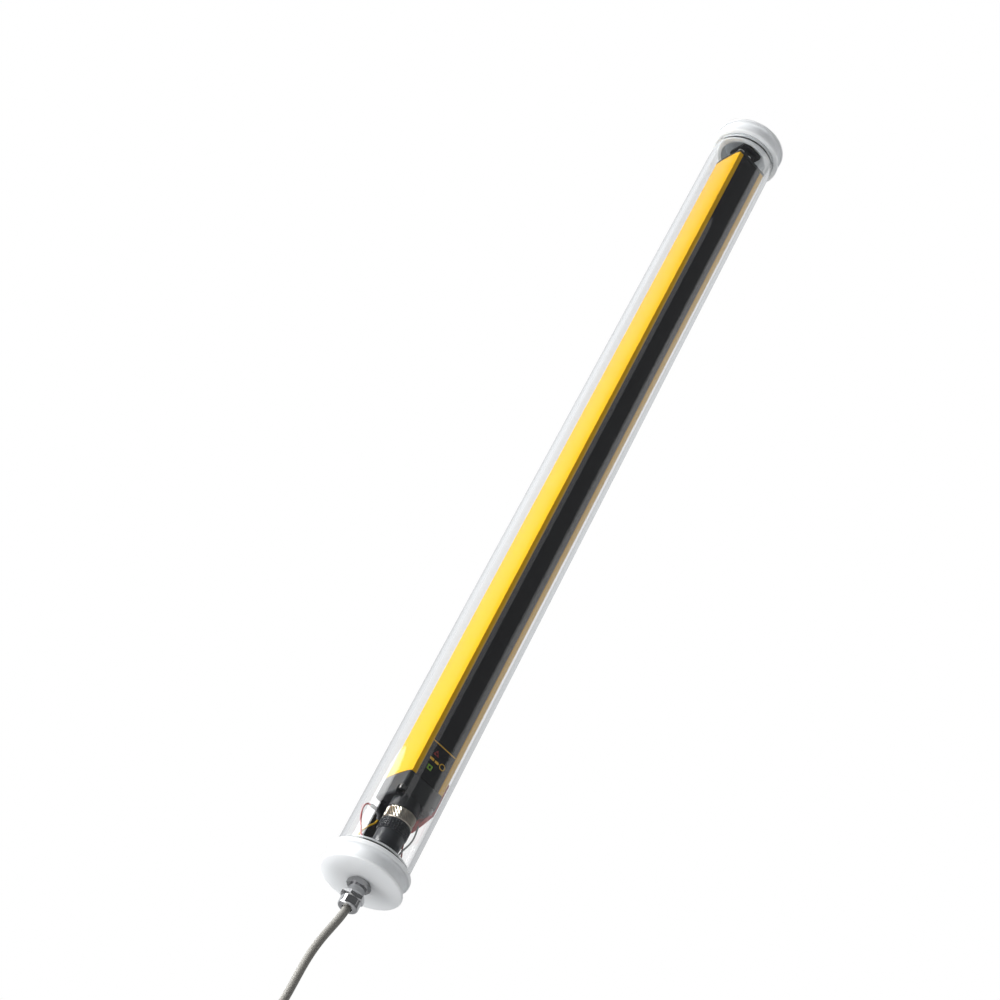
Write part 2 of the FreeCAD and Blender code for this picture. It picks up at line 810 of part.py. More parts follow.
def holder_screws():
    seat = bar_top + holder_foot_thickness
    screws = []
    for x, y in holder_screw_spots:
        head = rod(x, y, seat, seat + holder_head_height, holder_head_diameter)
        shank = rod(x, y, housing_top + gasket_thickness, seat, holder_screw_diameter)
        screws.append(head.fuse(shank))
    return group(screws)


# ---------------------------------------------------------------- heater
def heater_strip():
    y = housing_offset_y + channel_centre_y
    floor_x = side_x - channel_depth
    return block(floor_x, floor_x + heater_strip_thickness, y - heater_strip_width / 2, y + heater_strip_width / 2,
                 pad_top, housing_top - heater_strip_end_gap)


def heater_pad():
    """Silicone pad on the side of the bar, its lower front corner cut away in two slopes."""
    half = pad_width / 2
    low, high = pad_foot, pad_top
    corners = [(-half, low + pad_front_cut), (-half / 2, low + pad_middle_cut), (half / 6, low), (half, low),
               (half, high), (-half, high)]
    points = [V(side_x, y, z) for y, z in corners]
    wire = Part.Wire(rounded_edges(points, [1.5] * len(points), True))
    return Part.Face(wire).extrude(V(pad_thickness, 0, 0))


def foil_tape():
    y = housing_offset_y + channel_centre_y
    return block(side_x, side_x + foil_thickness, y - foil_width / 2, y + foil_width / 2,
                 pad_top, pad_top + foil_length)


# Routes inside the tube: x, y and the share of the height from the cable's jacket to the light bar's cap
switch_route = [(-14.1, 10.5, 0.8496), (-9.6, 8.8, 0.8415), (-6.3, 7.9, 0.7805), (-5.9, 7.9, 0.7165)]

red_route = [(-14.22, 10.54, 0.8496), (-16.4, 11.2, 0.8455), (-17.7, 11.4, 0.8089), (-18.0, 11.3, 0.7520),
             (-17.4, 10.8, 0.6829), (-15.7, 10.0, 0.5894), (-13.3, 8.6, 0.4776), (-10.6, 7.0, 0.3618),
             (-8.0, 5.2, 0.2398), (-5.2, 3.4, 0.1280), (-2.6, 1.7, 0.0854)]

yellow_route = [(-5.9, 7.9, 0.7134), (-6.3, 8.2, 0.6626), (-8.6, 9.6, 0.5935), (-10.5, 10.7, 0.5041),
                (-11.6, 11.3, 0.4065), (-11.0, 10.9, 0.3049), (-8.6, 9.0, 0.2073), (-5.0, 5.9, 0.1179),
                (-1.6, 3.0, 0.0813)]

grey_route = [(16.5, -3.1, 0.9106), (16.5, -3.8, 0.8374), (16.4, -5.0, 0.7480), (15.9, -5.8, 0.6585),
              (14.9, -5.7, 0.5691), (13.3, -5.0, 0.4715), (12.4, -4.2, 0.3699), (12.0, -3.4, 0.2561),
              (11.0, -2.7, 0.1463), (8.4, -2.0, 0.0752), (3.8, -1.3, 0.0671)]

dark_red_route = [(16.5, 4.0, 0.8506), (16.3, 3.4, 0.7846), (15.2, 1.8, 0.7033), (14.2, 0.2, 0.6138),
                  (14.9, -0.8, 0.5163), (16.2, -2.0, 0.4309), (16.6, -1.9, 0.3374), (15.0, -0.6, 0.2480),
                  (12.4, 0.5, 0.1504), (8.6, 0.9, 0.0752), (3.8, 1.2, 0.0671)]

cable_bends = [(0.05, 0.0, -12.0), (0.0, 0.0, -28.5), (-1.9, 1.0, -39.0), (-4.2, 2.1, -50.0),
               (-5.8, 2.9, -61.5), (-6.45, 3.2, -74.0), (-6.75, 2.8, -87.0), (-7.5, 1.7, -99.5),
               (-10.0, 0.0, -112.0), (-14.3, -1.8, -123.6)]


def jacket_end():
    return thread_top + jacket_end_above_thread


def core_place(angle):
    """Where a core leaves the jacket: on a circle round the middle core."""
    turn = math.radians(angle)
    return core_circle * math.cos(turn), core_circle * math.sin(turn)


def hung(route):
    rise = bar_cap_bottom - jacket_end()
    return [(x, y, jacket_end() + share * rise) for x, y, share in route]


def wire_to_jacket(route, angle):
    """A wire's route carried on to the cable's jacket."""
    x, y = core_place(angle)
    end = jacket_end() + core_seat
    return hung(route) + [(x, y, end + 2.0), (x, y, end)]


def plug_cores():
    """Cores from the end of the cable's jacket up into the plug."""
    strands = []
    start = jacket_end() + core_seat
    rise = clamp_nut_bottom - start
    for i, (x, y) in enumerate([(0.0, 0.0), core_place(240), core_place(300)]):
        upper_x = x + connector_x
        upper_y = y + connector_y
        route = [(x, y, start), (x, y, start + rise * 0.28),
                 (upper_x, upper_y, clamp_nut_bottom - rise * 0.28), (upper_x, upper_y, grip_bottom)]
        strands.append(cord("plug_core_%d" % i, route, wire_diameter))
    return group(strands)


# ---------------------------------------------------------------- outer cable
def coil_section():
    return coil_layers * cable_diameter + coil_slack


def cable_coil():
    """The put-away turns as one ring about a level axis, its section rounded."""
    half = coil_section() / 2
    middle = coil_diameter / 2
    body = turned([(middle - half, -half, cable_diameter / 2), (middle + half, -half, cable_diameter / 2),
                   (middle + half, half, cable_diameter / 2), (middle - half, half, cable_diameter / 2)])
    body.rotate(V(0, 0, 0), V(1, 0, 0), 90)
    body.translate(V(*coil_centre))
    return body


def outer_turn_radius():
    return coil_diameter / 2 + coil_section() / 2 - cable_diameter / 2 - turn_tuck


def layer_y(side):
    return coil_centre[1] + side * ((coil_section() - cable_diameter) / 2 - turn_tuck)


def entry_points():
    """The cable runs on to the coil's front outer turn along that turn's tangent."""
    angle = math.radians(entry_angle)
    radius = outer_turn_radius()
    x = coil_centre[0] - radius * math.sin(angle)
    z = coil_centre[2] + radius * math.cos(angle)
    lead = 11.0
    return [(x + lead * math.cos(angle), layer_y(-1), z + lead * math.sin(angle)), (x, layer_y(-1), z)]


def outer_cable(coil):
    route = [(0.0, 0.0, jacket_end())] + cable_bends + entry_points()
    return cord("outer_cable", route, cable_diameter).cut(coil)


def tail_x():
    return coil_centre[0] - outer_turn_radius()


def cable_tail(coil):
    tail = rod(tail_x(), layer_y(1), coil_centre[2] - tail_drop, coil_centre[2], cable_diameter)
    return tail.cut(coil)


def fanned_rods(low, high, diameter):
    """Seven rods that spread from the end of the jacket, between two distances along each."""
    root = V(tail_x(), layer_y(1), coil_centre[2] - tail_drop)
    rods = []
    for i in range(6):
        angle = math.pi * i / 3
        start = root + V(1.4 * math.cos(angle), 1.4 * math.sin(angle), 0)
        lean = math.radians(core_spread * 3)
        direction = V(math.sin(lean) * math.cos(angle), math.sin(lean) * math.sin(angle), -math.cos(lean))
        rods.append(Part.makeCylinder(diameter / 2, high - low, start + direction * low, direction))
    rods.append(Part.makeCylinder(diameter / 2, high - low, root + V(0, 0, -low), V(0, 0, -1)))
    return rods


def end_cores():
    return group(fanned_rods(0.15, core_length, wire_diameter))


def end_ferrules():
    return group(fanned_rods(core_length, core_length + ferrule_length, wire_diameter - 0.1))


def cable_tie(coil):
    """Strap round the coil's section, with its lock on the outside."""
    inner = coil_section() / 2 + tie_clearance
    outer = inner + tie_thickness
    middle = coil_diameter / 2
    radius = cable_diameter / 2
    half = tie_width / 2
    strap = extruded(rectangle(middle - outer, middle + outer, -outer, outer, radius + 1), -half, tie_width)
    strap = strap.cut(extruded(rectangle(middle - inner, middle + inner, -inner, inner, radius), -half - 1,
                               tie_width + 2))
    lock = block(middle + outer - 0.3, middle + outer + tie_head / 2, -tie_head / 2, tie_head / 2,
                 -half - 1, half + 1, 0.5)
    strap = strap.fuse(lock)
    strap.rotate(V(0, 0, 0), V(0, 1, 0), -90 + tie_angle)
    strap.translate(V(*coil_centre))
    return strap.cut(coil)


# ---------------------------------------------------------------- write every piece
coil = cable_coil()
pieces = {
    "clear_tube": clear_tube(),
    "lower_cap": lower_cap(),
    "upper_cap": upper_cap(),
    "lower_cap_seal": cap_seal(tube_foot + seal_offset),
    "upper_cap_seal": cap_seal(tube_head - seal_offset),
    "profile_housing": profile_housing(),
    "front_window": front_window(),
    "circuit_board": circuit_board(),
    "beam_carrier": beam_carrier(),
    "lens_strip": lens_strip(),
    "beam_emitters": beam_emitters(),
    "board_parts": board_parts(),
    "lower_end_cap": lower_end_cap(),
    "upper_end_cap": upper_end_cap(),
    "lower_end_gasket": end_gasket(housing_bottom - gasket_thickness),
    "upper_end_gasket": end_gasket(housing_top),
    "lower_end_screws": lower_end_screws(),
    "upper_end_screws": upper_end_screws(),
    "socket_shell": socket_shell(),
    "socket_insert": socket_insert(),
    "socket_pins": socket_pins(),
    "coupling_nut": coupling_nut(),
    "grip_ring": grip_ring(),
    "plug_body": plug_body(),
    "plug_insert": plug_insert(),
    "plug_clamp_nut": plug_clamp_nut(),
    "plug_cores": plug_cores(),
    "gland_washer": gland_washer(),
    "gland_body": gland_body(),
    "gland_nut": gland_nut(),
    "gland_seal": gland_seal(),
    "gland_locknut": gland_locknut(),
    "support_bracket": support_bracket(),
    "bracket_screws": bracket_screws(),
    "upper_holder": upper_holder(),
    "holder_screws": holder_screws(),
    "heater_strip": heater_strip(),
    "heater_pad": heater_pad(),
    "foil_tape": foil_tape(),
    "temperature_switch": cord("switch", hung(switch_route), switch_diameter),
    "red_wire": cord("red_wire", wire_to_jacket(red_route, 180), wire_diameter),
    "yellow_wire": cord("yellow_wire", wire_to_jacket(yellow_route, 120), wire_diameter),
    "grey_wire": cord("grey_wire", wire_to_jacket(grey_route, 0), wire_diameter),
    "dark_red_wire": cord("dark_red_wire", wire_to_jacket(dark_red_route, 60), wire_diameter),
    "outer_cable": outer_cable(coil),
    "cable_coil": coil,
    "cable_tie": cable_tie(coil),
    "cable_tail": cable_tail(coil),
    "end_cores": end_cores(),
    "end_ferrules": end_ferrules(),
}
for name, shape in pieces.items():
    save(name, shape)
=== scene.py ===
import bmesh
import bpy
import math
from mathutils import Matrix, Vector


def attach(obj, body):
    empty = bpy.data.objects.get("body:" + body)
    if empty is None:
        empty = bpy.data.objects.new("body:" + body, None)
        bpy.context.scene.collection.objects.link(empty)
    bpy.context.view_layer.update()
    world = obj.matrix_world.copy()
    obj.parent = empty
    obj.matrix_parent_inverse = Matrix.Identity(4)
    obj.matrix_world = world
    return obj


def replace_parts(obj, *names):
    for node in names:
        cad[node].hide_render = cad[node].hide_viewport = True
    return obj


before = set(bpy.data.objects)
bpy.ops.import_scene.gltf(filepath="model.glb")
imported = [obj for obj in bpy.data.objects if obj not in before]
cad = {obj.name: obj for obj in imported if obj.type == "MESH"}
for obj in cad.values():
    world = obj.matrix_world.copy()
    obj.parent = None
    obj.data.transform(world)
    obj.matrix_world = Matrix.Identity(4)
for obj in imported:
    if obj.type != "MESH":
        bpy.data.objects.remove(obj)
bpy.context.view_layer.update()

scene = bpy.context.scene
scene.view_settings.view_transform = "Standard"

# ------------------------------------------------------------------ clear tube
# Clear extruded tube, 50 mm across with a 3 mm wall, polished outside and sawn square at both ends.
# Light passes through it to what it holds, so its shadow is left nearly clear.

# Gives one finish to pieces whose solids already have their full form.
def dress(material, *names):
    for name in names:
        mesh = cad[name].data
        mesh.materials.clear()
        mesh.materials.append(material)


clear = bpy.data.materials.new("clear_tube")
clear.use_nodes = True
nodes, links = clear.node_tree.nodes, clear.node_tree.links
glass = nodes["Principled BSDF"]
glass.inputs["Base Color"].default_value = (0.997, 0.998, 1.0, 1)
glass.inputs["Roughness"].default_value = 0.02
glass.inputs["IOR"].default_value = 1.49
glass.inputs["Transmission Weight"].default_value = 1.0
through = nodes.new("ShaderNodeBsdfTransparent")
through.inputs["Color"].default_value = (0.95, 0.96, 0.96, 1)
path = nodes.new("ShaderNodeLightPath")
either = nodes.new("ShaderNodeMath")
either.operation = "MAXIMUM"
links.new(path.outputs["Is Shadow Ray"], either.inputs[0])
links.new(path.outputs["Is Diffuse Ray"], either.inputs[1])
blend = nodes.new("ShaderNodeMixShader")
links.new(either.outputs[0], blend.inputs[0])
links.new(glass.outputs[0], blend.inputs[1])
links.new(through.outputs[0], blend.inputs[2])
links.new(blend.outputs[0], nodes["Material Output"].inputs["Surface"])
dress(clear, "clear_tube")

# ------------------------------------------------------------------ light bar's housing
# Aluminium extrusion, powder coated yellow, with a fine, even orange peel under a satin gloss. Its left side
# leans in a little towards the front and meets the window's lip in a crisp edge.

# Every real surface has a little grain, whether moulded, turned, plated or painted. The group gives two tones
# in soft blotches, two roughness values in a finer grain, and that grain's height.
grain = bpy.data.node_groups.new("surface_grain", "ShaderNodeTree")
for socket, kind, value in (("Tone A", "NodeSocketColor", (0.8, 0.8, 0.8, 1)),
                            ("Tone B", "NodeSocketColor", (0.7, 0.7, 0.7, 1)),
                            ("Scale", "NodeSocketFloat", 400.0),
                            ("Stretch", "NodeSocketVector", (1, 1, 1)),
                            ("Roughness A", "NodeSocketFloat", 0.4),
                            ("Roughness B", "NodeSocketFloat", 0.5)):
    made = grain.interface.new_socket(socket, in_out="INPUT", socket_type=kind)
    made.default_value = value
for socket, kind in (("Color", "NodeSocketColor"),
                     ("Roughness", "NodeSocketFloat"),
                     ("Height", "NodeSocketFloat")):
    grain.interface.new_socket(socket, in_out="OUTPUT", socket_type=kind)
g_in = grain.nodes.new("NodeGroupInput")
g_out = grain.nodes.new("NodeGroupOutput")
g_place = grain.nodes.new("ShaderNodeTexCoord")
g_stretch = grain.nodes.new("ShaderNodeVectorMath")
g_stretch.operation = "MULTIPLY"
g_noise = grain.nodes.new("ShaderNodeTexNoise")
g_noise.inputs["Detail"].default_value = 3.0
g_blotch = grain.nodes.new("ShaderNodeTexNoise")
g_blotch.inputs["Scale"].default_value = 35.0
g_tone = grain.nodes.new("ShaderNodeMix")
g_tone.data_type = "RGBA"
g_rough = grain.nodes.new("ShaderNodeMix")
# A mix node holds its numbers and its colours in one row of sockets. These are their places in that row.
mix_share, mix_number_a, mix_number_b, mix_colour_a, mix_colour_b = 0, 2, 3, 6, 7
mix_number, mix_colour = 0, 2
for a, b in ((g_place.outputs["Object"], g_stretch.inputs[0]),
             (g_in.outputs["Stretch"], g_stretch.inputs[1]),
             (g_stretch.outputs[0], g_noise.inputs["Vector"]),
             (g_in.outputs["Scale"], g_noise.inputs["Scale"]),
             (g_place.outputs["Object"], g_blotch.inputs["Vector"]),
             (g_blotch.outputs["Fac"], g_tone.inputs[mix_share]),
             (g_in.outputs["Tone A"], g_tone.inputs[mix_colour_a]),
             (g_in.outputs["Tone B"], g_tone.inputs[mix_colour_b]),
             (g_noise.outputs["Fac"], g_rough.inputs[mix_share]),
             (g_in.outputs["Roughness A"], g_rough.inputs[mix_number_a]),
             (g_in.outputs["Roughness B"], g_rough.inputs[mix_number_b]),
             (g_tone.outputs[mix_colour], g_out.inputs["Color"]),
             (g_rough.outputs[mix_number], g_out.inputs["Roughness"]),
             (g_noise.outputs["Fac"], g_out.inputs["Height"])):
    grain.links.new(a, b)


# A finish: two tones, its smoothest and roughest value, its grain's fineness and depth in metres, how far the
# grain is drawn out along x, y and z, and the shine of what isn't metal.
def surface(name, tone_a, tone_b, rough, metallic=0.0, scale=400.0, depth=0.00002, stretch=(1, 1, 1),
            shine=0.5):
    material = bpy.data.materials.new(name)
    material.use_nodes = True
    nodes, links = material.node_tree.nodes, material.node_tree.links
    shader = nodes["Principled BSDF"]
    skin = nodes.new("ShaderNodeGroup")
    skin.node_tree = grain
    skin.inputs["Tone A"].default_value = (*tone_a, 1)
    skin.inputs["Tone B"].default_value = (*tone_b, 1)
    skin.inputs["Scale"].default_value = scale
    skin.inputs["Stretch"].default_value = stretch
    skin.inputs["Roughness A"].default_value, skin.inputs["Roughness B"].default_value = rough
    bump = nodes.new("ShaderNodeBump")
    bump.inputs["Strength"].default_value = 0.6
    bump.inputs["Distance"].default_value = depth
    links.new(skin.outputs["Color"], shader.inputs["Base Color"])
    links.new(skin.outputs["Roughness"], shader.inputs["Roughness"])
    links.new(skin.outputs["Height"], bump.inputs["Height"])
    links.new(bump.outputs["Normal"], shader.inputs["Normal"])
    shader.inputs["Metallic"].default_value = metallic
    shader.inputs["Specular IOR Level"].default_value = shine
    return material


# A mesh made here becomes a piece with its finish, fixed to the part's one body.
def finish_mesh(name, mesh, material):
    mesh.materials.append(material)
    piece = bpy.data.objects.new(name, mesh)
    scene.collection.objects.link(piece)
    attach(piece, "root")
    return piece


yellow_paint = surface("yellow_paint", (0.96, 0.52, 0.004), (0.94, 0.505, 0.004), (0.14, 0.2),
                       scale=1400, depth=0.000004, shine=0.42)
side_x, front_y, corner_radius = -0.0132, -0.0152, 0.002
lean_from, lean = -0.0110, 0.00085
half_corner, crease = 45, 9
# The section is cut where the lean begins, then its side and its rounded corner are drawn to the new edge.
profile = bmesh.new()
profile.from_mesh(cad["profile_housing"].data)
bmesh.ops.bisect_plane(profile, geom=profile.verts[:] + profile.edges[:] + profile.faces[:],
                       plane_co=(0, lean_from, 0), plane_no=(0, 1, 0))
round_x, round_y = side_x + corner_radius, front_y + corner_radius
near = 0.00002
for vertex in profile.verts:
    x, y = vertex.co.x, vertex.co.y
    if x > round_x + near or y > lean_from:
        continue
    if y <= round_y + near and abs(math.hypot(x - round_x, y - round_y) - corner_radius) < near:
        swept = math.degrees(math.atan2(round_y - y, round_x - x))
        share = min(1.0, swept / half_corner)
        vertex.co.y = round_y - corner_radius * share
        over = max(0.0, (swept - half_corner) / half_corner)
        edge_x = side_x + lean * (lean_from - vertex.co.y) / (lean_from - front_y)
        vertex.co.x = edge_x + (round_x - edge_x) * over
    elif abs(x - side_x) < near:
        vertex.co.x = side_x + lean * (lean_from - y) / (lean_from - front_y)
housing_mesh = bpy.data.meshes.new("housing")
profile.to_mesh(housing_mesh)
profile.free()
housing_mesh.shade_smooth()
housing_mesh.set_sharp_from_angle(angle=math.radians(crease))
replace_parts(finish_mesh("housing", housing_mesh, yellow_paint), "profile_housing")

# ------------------------------------------------------------------ window and optics behind it
# A dark filter pane that passes infrared closes the front. Behind it are a clear lens strip, a bored
# carrier and the circuit board with its emitters.
dark_window = surface("dark_window", (0.009, 0.009, 0.01), (0.012, 0.012, 0.013), (0.07, 0.1),
                      scale=200, depth=0.0000005)
lens_clear = surface("lens_clear", (0.6, 0.62, 0.65), (0.55, 0.58, 0.6), (0.15, 0.2), depth=0.000004)
board_green = surface("board_green", (0.02, 0.16, 0.06), (0.015, 0.12, 0.05), (0.35, 0.5), depth=0.00001)
chip_black = surface("chip_black", (0.03, 0.03, 0.03), (0.04, 0.04, 0.04), (0.5, 0.6))
dress(dark_window, "front_window")
dress(lens_clear, "lens_strip")
dress(board_green, "circuit_board")
dress(chip_black, "beam_emitters", "board_parts")

# ------------------------------------------------------------------ status marks
# Small plain shapes are printed on the window's foot over the status lamps: a line across, a triangle, two
# bars, a ring and a square. The ink stands a few hundredths of a millimetre proud.
window_x, window_y = 0.001, -0.0149
ink = 0.00003
mark_steps = 48
line_level, triangle_level, bars_level, ring_level, square_level = 0.0977, 0.0908, 0.0859, 0.0860, 0.0798
symbols_x, ring_x = -0.0035, 0.0042
half_line, half_bar = 0.0004, 0.0009
triangle_radius, triangle_hole = 0.0028, 0.0007
ring_radius, ring_hole = 0.0023, 0.0017
square_radius, square_hole = 0.0027, 0.0009


# An inked shape, with a hole where an inner outline is given.
def printed(name, outer, inner, level, material):
    mesh = bpy.data.meshes.new(name)
    rings = [(outer, -ink), (outer, ink)]
    if inner:
        rings += [(inner, ink), (inner, -ink)]
    vertices = [(window_x + x, window_y + y, level + z) for ring, y in rings for x, z in ring]
    count = len(outer)
    faces = []
    for i in range(len(rings) if inner else 1):
        j = (i + 1) % len(rings)
        faces += [(i * count + k, j * count + k,
                   j * count + (k + 1) % count, i * count + (k + 1) % count) for k in range(count)]
    if not inner:
        faces += [tuple(range(count)), tuple(range(2 * count - 1, count - 1, -1))]
    mesh.from_pydata(vertices, [], faces)
    finish_mesh(name, mesh, material)


def bar_outline(left, right, half):
    return [(left, -half), (right, -half), (right, half), (left, half)]


# A circle, or a polygon with that many sides whose first corner lies at the given angle.
def mark_outline(x, radius, sides=0, first=0.0):
    points = []
    for k in range(mark_steps):
        angle = 2 * math.pi * k / mark_steps
        reach = radius
        if sides:
            part = (angle - first) % (2 * math.pi / sides) - math.pi / sides
            reach = radius * math.cos(math.pi / sides) / math.cos(part)
        points.append((x + reach * math.cos(angle), reach * math.sin(angle)))
    return points


amber_ink = surface("amber_ink", (0.95, 0.55, 0.06), (0.9, 0.5, 0.05), (0.3, 0.4), depth=0.000002)
red_ink = surface("red_ink", (0.3, 0.035, 0.03), (0.26, 0.03, 0.025), (0.3, 0.4), depth=0.000002)
green_ink = surface("green_ink", (0.22, 0.42, 0.04), (0.19, 0.38, 0.035), (0.3, 0.4), depth=0.000002)
printed("mark_line", bar_outline(-0.0096, 0.0096, half_line), None, line_level, amber_ink)
printed("mark_bar_1", bar_outline(-0.0065, -0.0031, half_bar), None, bars_level, amber_ink)
pointed_bar = [(-0.0022, -half_bar), (0.0007, -half_bar), (0.0014, 0), (0.0007, half_bar),
               (-0.0022, half_bar)]
printed("mark_bar_2", pointed_bar, None, bars_level, amber_ink)
printed("mark_triangle", mark_outline(symbols_x, triangle_radius, 3, math.pi / 2),
        mark_outline(symbols_x, triangle_hole), triangle_level, red_ink)
printed("mark_ring", mark_outline(ring_x, ring_radius), mark_outline(ring_x, ring_hole),
        ring_level, amber_ink)
printed("mark_square", mark_outline(symbols_x, square_radius, 4, math.pi / 4),
        mark_outline(symbols_x, square_hole), square_level, green_ink)

# ------------------------------------------------------------------ light bar's end caps
# Black mouldings with a fine spark-eroded grain close both ends of the bar over soft black gaskets. The
# foot's screws are blackened, the head's are bright zinc. The optic carrier is moulded from the same black.
black_plastic = surface("black_plastic", (0.010, 0.011, 0.013), (0.014, 0.015, 0.017), (0.34, 0.46),
                        scale=1800)
foam_black = surface("foam_black", (0.02, 0.02, 0.02), (0.03, 0.03, 0.03), (0.7, 0.85),
                     scale=2500, depth=0.00005)
dark_steel = surface("dark_steel", (0.16, 0.16, 0.165), (0.22, 0.22, 0.22), (0.18, 0.32),
                     metallic=1.0, scale=900)
zinc_steel = surface("zinc_steel", (0.62, 0.62, 0.6), (0.55, 0.55, 0.54), (0.22, 0.38),
                     metallic=1.0, scale=900)
dress(black_plastic, "beam_carrier", "lower_end_cap", "upper_end_cap")
dress(foam_black, "lower_end_gasket", "upper_end_gasket")
dress(dark_steel, "lower_end_screws")
dress(zinc_steel, "upper_end_screws")

# ------------------------------------------------------------------ round connector
# The plug screws on to the bar's socket with a coupling nut of nickel-plated brass, turned and knurled on the
# slant. Its black moulded grip has rows of small square studs, and its contacts are gold plated.
nickel = surface("nickel", (0.62, 0.57, 0.5), (0.56, 0.52, 0.45), (0.1, 0.18),
                 metallic=1.0, scale=700, depth=0.00001, stretch=(0.3, 0.3, 2.0))
gold = surface("gold", (0.8, 0.55, 0.2), (0.75, 0.5, 0.18), (0.2, 0.3), metallic=1.0)
insert_black = surface("insert_black", (0.02, 0.02, 0.02), (0.03, 0.03, 0.03), (0.4, 0.5))
moulded_black = surface("moulded_black", (0.02, 0.022, 0.026), (0.028, 0.03, 0.034), (0.26, 0.38),
                        scale=1100, depth=0.00004)
core_grey = surface("core_grey", (0.25, 0.25, 0.26), (0.2, 0.2, 0.21), (0.3, 0.42), depth=0.00001)
dress(nickel, "socket_shell")
dress(gold, "socket_pins")
dress(insert_black, "socket_insert", "plug_insert")
dress(moulded_black, "plug_body", "plug_clamp_nut")
dress(core_grey, "plug_cores")
axis_x, axis_y = 0.0006, -0.0053
level_enough = 1e-7


# A closed ring round the connector's axis: each row has a height and a radius at every angle. A face with
# uneven corners is split along its crest.
def ribbed_ring(name, angles, rows, material, node):
    around = len(angles)
    vertices = [(axis_x + r * math.cos(a), axis_y + r * math.sin(a), level) for level, radii in rows
                for a, r in zip(angles, radii)]
    faces = []
    for i in range(len(rows)):
        j = (i + 1) % len(rows)
        for k in range(around):
            m = (k + 1) % around
            a, b, c, d = i * around + k, i * around + m, j * around + m, j * around + k
            tilt = rows[i][1][k] + rows[j][1][m] - rows[i][1][m] - rows[j][1][k]
            if abs(tilt) < level_enough:
                faces.append((a, b, c, d))
            elif tilt > 0:
                faces += [(a, b, d), (b, c, d)]
            else:
                faces += [(a, b, c), (a, c, d)]
    mesh = bpy.data.meshes.new(name)
    mesh.from_pydata(vertices, [], faces)
    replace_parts(finish_mesh(name, mesh, material), node)


nut_top, nut_bottom, nut_radius, nut_bevel, nut_relief = 0.0460, 0.0373, 0.0101, 0.0006, 0.0001
thread_end, shell_bore, neck_bore = 0.0418, 0.0060, 0.0075
# Four points make a tooth, and each row is set on by one of them, so that the teeth run on the slant.
teeth, knurl_depth, knurl_rows = 30, 0.0005, 9
knurl_low, knurl_high = nut_bottom + 0.0012, nut_top - 0.0011
angles = [math.pi * k / (2 * teeth) for k in range(4 * teeth)]
around = len(angles)
nut_edge = [nut_radius - nut_bevel] * around
rows = [(nut_bottom, nut_edge), (nut_bottom + nut_bevel, [nut_radius] * around)]
for i in range(knurl_rows + 1):
    rows.append((knurl_low + (knurl_high - knurl_low) * i / knurl_rows,
                 [nut_radius - knurl_depth * abs((i + k) % 4 - 2) / 2 for k in range(around)]))
rows += [(nut_top - nut_bevel, [nut_radius - nut_relief] * around), (nut_top, nut_edge)]
for height, bore in ((nut_top, shell_bore), (thread_end, shell_bore), (thread_end, neck_bore),
                     (nut_bottom, neck_bore)):
    rows.append((height, [bore] * around))
ribbed_ring("knurled_nut", angles, rows, nickel, "coupling_nut")

grip_top, grip_bottom, grip_radius, grip_bore = 0.0371, 0.0291, 0.0103, 0.0074
studs_around, studs_high, stud_height, stud_margin = 34, 4, 0.0006, 0.0003
grip_bevel, grip_edge = 0.0009, 0.0002
# Within its share of the ring a stud starts, reaches its flat top, leaves it and ends at these parts.
stud_across, stud_up = (0.1, 0.34, 0.62, 0.86), (0.12, 0.32, 0.68, 0.88)
pitch = 2 * math.pi / studs_around
angles = [pitch * (k + share) for k in range(studs_around) for share in stud_across]
around = len(angles)
foot = grip_radius - stud_height
valley = [foot] * around
ridge = [foot, grip_radius, grip_radius, foot] * studs_around
rows = [(grip_bottom, [grip_radius - grip_bevel] * around), (grip_bottom + grip_edge, valley)]
step = (grip_top - grip_bottom - 2 * stud_margin) / studs_high
for i in range(studs_high):
    base = grip_bottom + stud_margin + i * step
    for share, radii in zip(stud_up, (valley, ridge, ridge, valley)):
        rows.append((base + step * share, radii))
rows += [(grip_top - grip_edge, valley), (grip_top, [grip_radius - grip_bevel] * around),
         (grip_top, [grip_bore] * around), (grip_bottom, [grip_bore] * around)]
ribbed_ring("studded_grip", angles, rows, moulded_black, "grip_ring")

# ------------------------------------------------------------------ bracket and holder
# A bent black bracket carries the bar's foot from the lower cap, and a moulded holder keeps its head in the
# middle of the tube. Both are fixed with small screws.
dress(black_plastic, "support_bracket", "upper_holder")
dress(dark_steel, "bracket_screws")
dress(zinc_steel, "holder_screws")

# ------------------------------------------------------------------ heater
# A grey heating strip lies in the side channel. A red silicone pad closes the channel's foot, and crumpled
# bright foil is stuck over the joint.
heater_grey = surface("heater_grey", (0.2, 0.2, 0.2), (0.17, 0.17, 0.17), (0.5, 0.6), scale=800)
silicone_red = surface("silicone_red", (0.55, 0.02, 0.015), (0.46, 0.018, 0.013), (0.4, 0.55),
                       scale=1500, depth=0.00004)
dress(heater_grey, "heater_strip")
dress(silicone_red, "heater_pad")
foil_x, foil_low, foil_high, foil_y, foil_half = 0.0152, 0.0827, 0.1257, 0.0031, 0.0090
glue, foil_gauge = 0.00002, 0.00012
columns, lines = 30, 72
